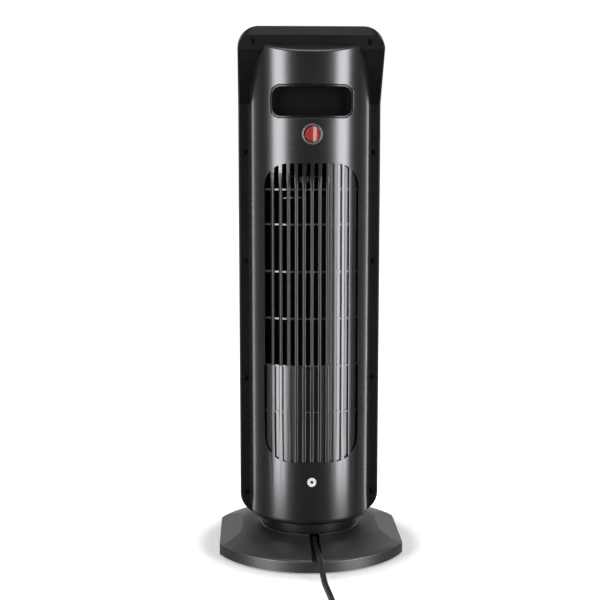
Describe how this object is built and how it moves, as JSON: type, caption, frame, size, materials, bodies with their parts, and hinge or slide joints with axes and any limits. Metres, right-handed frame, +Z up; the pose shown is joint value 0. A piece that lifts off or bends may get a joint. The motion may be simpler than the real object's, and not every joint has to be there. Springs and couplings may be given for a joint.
{
  "type": "tower fan heater",
  "caption": "Tall tower fan heater on a round swivelling base, with a ribbed rear inlet, recessed grip, round mains rocker, cross-flow blower, ceramic core and coiled mains lead.",
  "frame": {"origin": "on the floor under the swivel axis, at the middle of the round base", "axes": "+Z up along the swivel axis, +Y towards the rear with the inlet grille, switch and lead, -Y the way the warm air leaves"},
  "size_m": [0.2583, 0.4895, 0.637],
  "materials": {
    "graphite": "dark graphite, satin with a fine metallic sheen",
    "black": "black, satin",
    "gloss": "gloss black",
    "rubber": "black, matt",
    "cord": "black, smooth",
    "steel": "zinc plated",
    "dark_steel": "blackened screws",
    "aluminium": "bare",
    "nylon": "natural white",
    "heater_plastic": "dark brown, heat proof",
    "red": "red, gloss",
    "rim_grey": "dark grey, satin",
    "pale": "pale grey",
    "board": "green circuit board",
    "brass": "nickel plated"
  },
  "bodies": {
    "base": {"base_cover": "graphite", "base_plate": "black", "rubber_foot_1": "rubber", "rubber_foot_2": "rubber", "rubber_foot_3": "rubber", "rubber_foot_4": "rubber", "strain_relief": "rubber", "glide_ring": "nylon", "pivot_washer": "steel", "cord_lead": "cord", "cord_coil": "cord", "plug_body": "cord", "plug_pin_1": "brass", "plug_pin_2": "brass"},
    "tower": {"turntable": "black", "pivot_clip": "steel", "swing_motor": "steel", "rear_shell": "graphite", "front_frame": "black", "front_panel": "gloss", "frame_screw_1": "dark_steel", "frame_screw_2": "dark_steel", "frame_screw_3": "dark_steel", "frame_screw_4": "dark_steel", "frame_screw_5": "dark_steel", "frame_screw_6": "dark_steel", "frame_screw_7": "dark_steel", "frame_screw_8": "dark_steel", "frame_screw_9": "dark_steel", "frame_screw_10": "dark_steel", "grip_cup": "black", "switch_bezel": "rim_grey", "switch_body": "black", "spacer_ring": "pale", "spacer_screw": "dark_steel", "scroll_plate": "black", "tongue_plate": "aluminium", "casing_bottom": "black", "casing_top": "black", "bearing_bridge": "steel", "bearing_bush": "nylon", "motor_bracket": "steel", "fan_motor": "steel", "heater_frame": "heater_plastic", "heater_core": "aluminium", "thermal_cutout": "nylon", "outlet_grille": "black", "control_panel": "gloss", "display_window": "gloss", "control_board": "board", "tilt_switch": "nylon"},
    "swing_crank": {"crank": "nylon"},
    "blower_wheel": {"fan_wheel": "black", "wheel_shaft": "steel", "wheel_pin": "steel"},
    "mains_rocker": {"switch_rocker": "red"},
    "key_1": {"button_1": "black"},
    "key_2": {"button_2": "black"},
    "key_3": {"button_3": "black"},
    "key_4": {"button_4": "black"}
  },
  "joints": [
    {"name": "tower_swivel", "type": "hinge", "parent": "base", "child": "tower", "pos_m": [0, 0, 0.03], "axis": [0, 0, 1], "range_deg": [-28, 28]},
    {"name": "crank_turn", "type": "hinge", "parent": "tower", "child": "swing_crank", "pos_m": [0.03, 0, 0.034], "axis": [0, 0, 1], "range_deg": [-90.5, 90.5]},
    {"name": "wheel_spin", "type": "hinge", "parent": "tower", "child": "blower_wheel", "pos_m": [0.007, 0.027, 0.329], "axis": [0, 0, 1], "continuous": true},
    {"name": "rocker_tip", "type": "hinge", "parent": "tower", "child": "mains_rocker", "pos_m": [0, 0.06, 0.511], "axis": [0, 0, 1], "range_deg": [-16, 0]},
    {"name": "button_1_press", "type": "slide", "parent": "tower", "child": "key_1", "axis": [0, 0.866, -0.5], "range_m": [0, 0.0012], "stiffness_N_per_m": 400, "springref_m": -0.001},
    {"name": "button_2_press", "type": "slide", "parent": "tower", "child": "key_2", "axis": [0, 0.866, -0.5], "range_m": [0, 0.0012], "stiffness_N_per_m": 400, "springref_m": -0.001},
    {"name": "button_3_press", "type": "slide", "parent": "tower", "child": "key_3", "axis": [0, 0.866, -0.5], "range_m": [0, 0.0012], "stiffness_N_per_m": 400, "springref_m": -0.001},
    {"name": "button_4_press", "type": "slide", "parent": "tower", "child": "key_4", "axis": [0, 0.866, -0.5], "range_m": [0, 0.0012], "stiffness_N_per_m": 400, "springref_m": -0.001}
  ],
  "couplings": [
    {"joint": "crank_turn", "follows": "tower_swivel", "ratio": -3.226}
  ]
}
